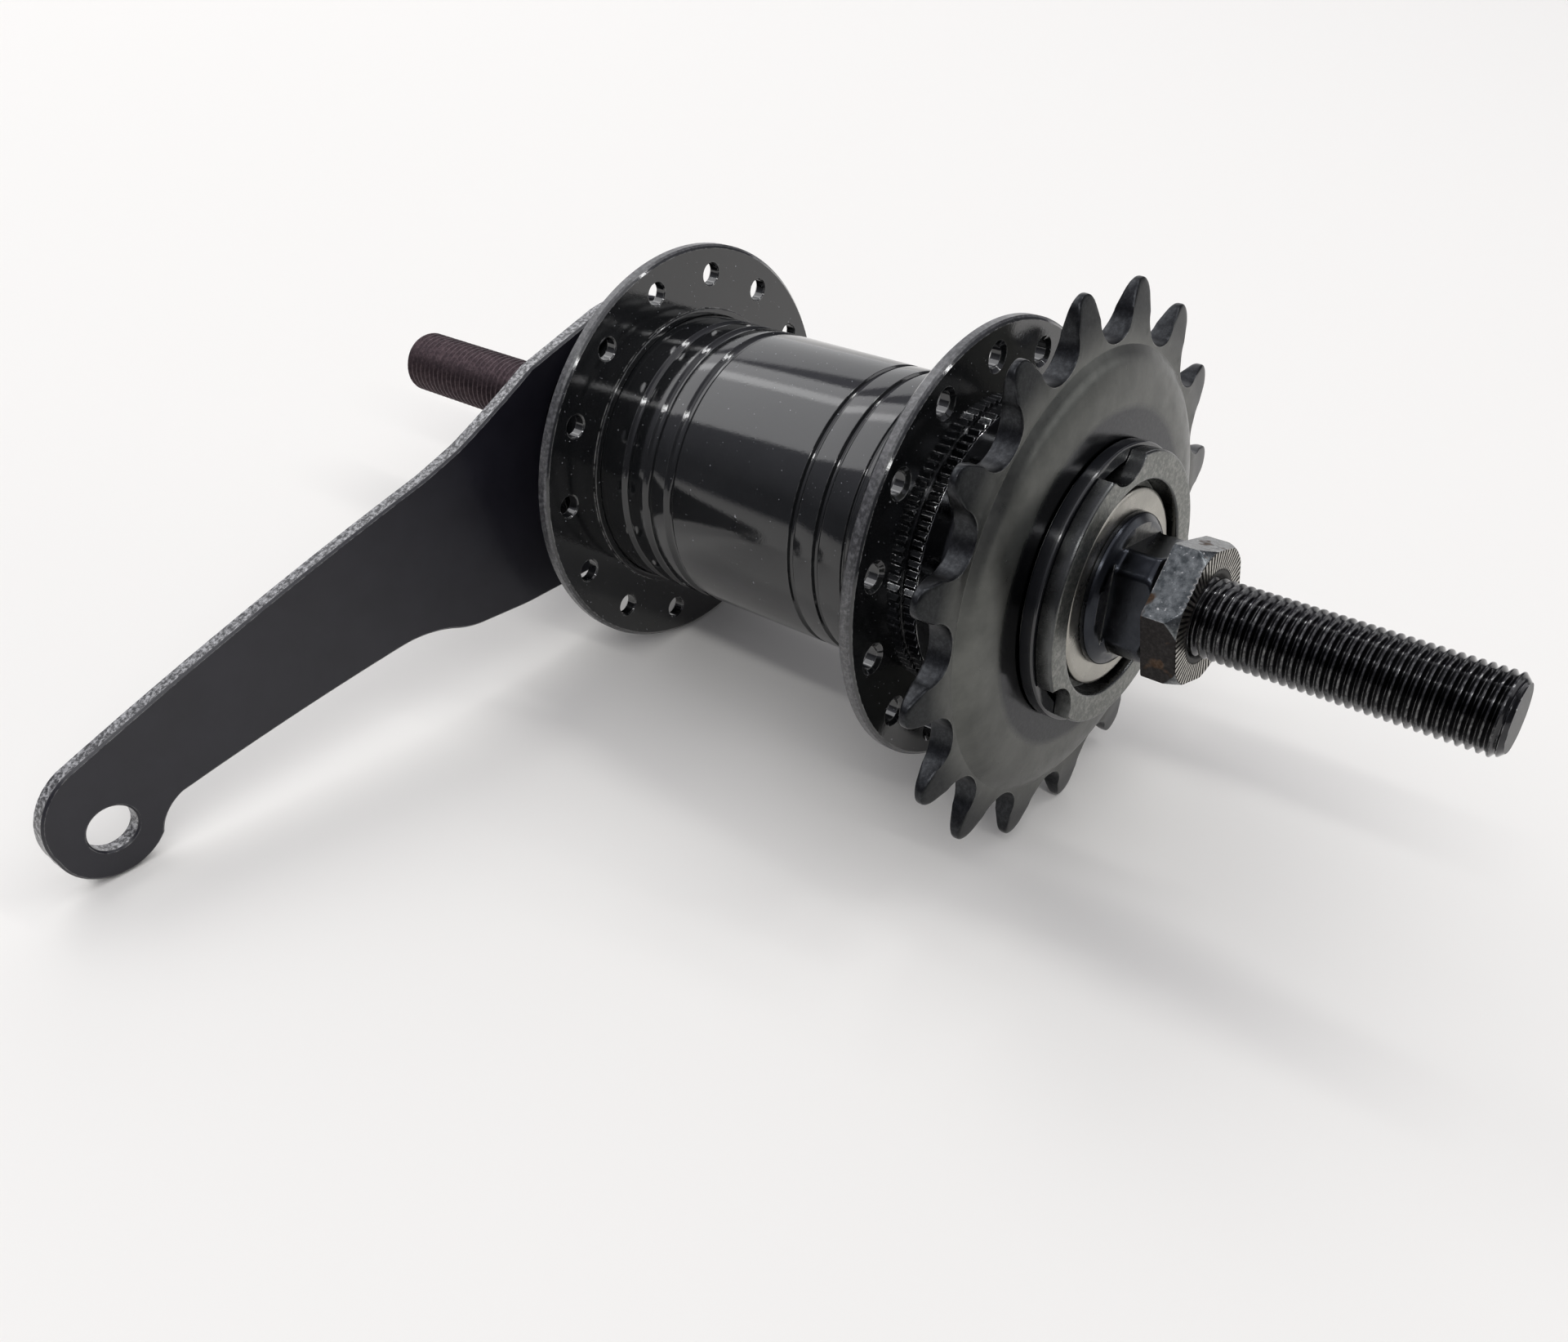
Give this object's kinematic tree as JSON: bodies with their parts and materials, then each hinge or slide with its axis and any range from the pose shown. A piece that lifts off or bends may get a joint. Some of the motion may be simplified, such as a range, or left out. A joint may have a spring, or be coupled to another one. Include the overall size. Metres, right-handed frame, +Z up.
{
  "type": "drum brake rear hub",
  "caption": "Bicycle rear hub with a back-pedal brake inside its shell: spoked flanges, threaded axle, sprocket, drive cone, locknuts and a long brake arm.",
  "frame": {"origin": "on the axle's centre line, halfway between the outer faces of the two locknuts", "axes": "+Y along the axle towards the drive side (sprocket), +Z up, brake arm towards +X"},
  "size_m": [0.131, 0.1733, 0.0706],
  "materials": {
    "axle_black": "glossy black thread",
    "arm_black": "satin black enamel, speckled sheared edge",
    "cone_steel": "glossy blued steel",
    "nut_steel": "rough dark grey with rust spots",
    "disc_steel": "light grey metal",
    "shell_black": "gloss black enamel",
    "knurl_black": "glossy black knurl",
    "cap_black": "satin black",
    "driver_steel": "dark oxide steel, worn edges",
    "ring_black": "glossy black spring steel",
    "sprocket_steel": "satin black oxide",
    "inner_steel": "ground hardened steel with grease",
    "shoe_steel": "turned steel with grease",
    "spring_steel": "spring steel",
    "ball_steel": "polished",
    "cage_steel": "pressed zinc-plated steel"
  },
  "bodies": {
    "axle_set": {"axle": "axle_black", "brake_arm": "arm_black", "brake_cone": "cone_steel", "shoe_expander": "inner_steel", "arm_washer": "nut_steel", "arm_locknut": "nut_steel", "drive_cone": "cone_steel", "drive_dust_disc": "disc_steel", "drive_locknut": "nut_steel"},
    "shell": {"shell_barrel": "shell_black", "left_flange": "shell_black", "right_flange": "shell_black", "left_ball_cup": "inner_steel", "right_ball_cup": "inner_steel", "left_dust_cap": "cap_black", "knurled_collar": "knurl_black", "drive_ring": "inner_steel"},
    "driver": {"driver": "driver_steel", "driver_dust_cap": "cap_black", "snap_ring": "ring_black", "sprocket": "sprocket_steel"},
    "clutch": {"clutch_cone": "inner_steel"},
    "drag_spring": {"drag_spring": "spring_steel"},
    "upper_shoe": {"upper_brake_shoe": "shoe_steel"},
    "lower_shoe": {"lower_brake_shoe": "shoe_steel"},
    "left_bearing": {"left_balls": "ball_steel", "left_ball_cage": "cage_steel"},
    "right_bearing": {"right_balls": "ball_steel", "right_ball_cage": "cage_steel"},
    "driver_bearing": {"driver_balls": "ball_steel", "driver_ball_cage": "cage_steel"}
  },
  "joints": [
    {"name": "shell_spin", "type": "hinge", "parent": "axle_set", "child": "shell", "pos_m": [0, 0, 0], "axis": [0, 1, 0], "continuous": true},
    {"name": "driver_spin", "type": "hinge", "parent": "axle_set", "child": "driver", "pos_m": [0, 0, 0], "axis": [0, 1, 0], "continuous": true},
    {"name": "clutch_travel", "type": "slide", "parent": "driver", "child": "clutch", "axis": [0, -1, 0], "range_m": [0, 0.002]},
    {"name": "drag_spring_travel", "type": "slide", "parent": "axle_set", "child": "drag_spring", "axis": [0, -1, 0], "range_m": [0, 0.002]},
    {"name": "upper_shoe_travel", "type": "slide", "parent": "axle_set", "child": "upper_shoe", "axis": [0, 0, 1], "range_m": [0, 0.0004]},
    {"name": "lower_shoe_travel", "type": "slide", "parent": "axle_set", "child": "lower_shoe", "axis": [0, 0, -1], "range_m": [0, 0.0004]},
    {"name": "left_bearing_spin", "type": "hinge", "parent": "axle_set", "child": "left_bearing", "pos_m": [0, 0, 0], "axis": [0, 1, 0], "continuous": true},
    {"name": "right_bearing_spin", "type": "hinge", "parent": "axle_set", "child": "right_bearing", "pos_m": [0, 0, 0], "axis": [0, 1, 0], "continuous": true},
    {"name": "driver_bearing_spin", "type": "hinge", "parent": "axle_set", "child": "driver_bearing", "pos_m": [0, 0, 0], "axis": [0, 1, 0], "continuous": true}
  ],
  "couplings": [
    {"joint": "drag_spring_travel", "follows": "clutch_travel", "ratio": 1},
    {"joint": "upper_shoe_travel", "follows": "clutch_travel", "ratio": 0.2},
    {"joint": "lower_shoe_travel", "follows": "clutch_travel", "ratio": 0.2},
    {"joint": "left_bearing_spin", "follows": "shell_spin", "ratio": 0.597},
    {"joint": "right_bearing_spin", "follows": "shell_spin", "ratio": 0.6},
    {"joint": "driver_bearing_spin", "follows": "driver_spin", "ratio": 0.594}
  ]
}
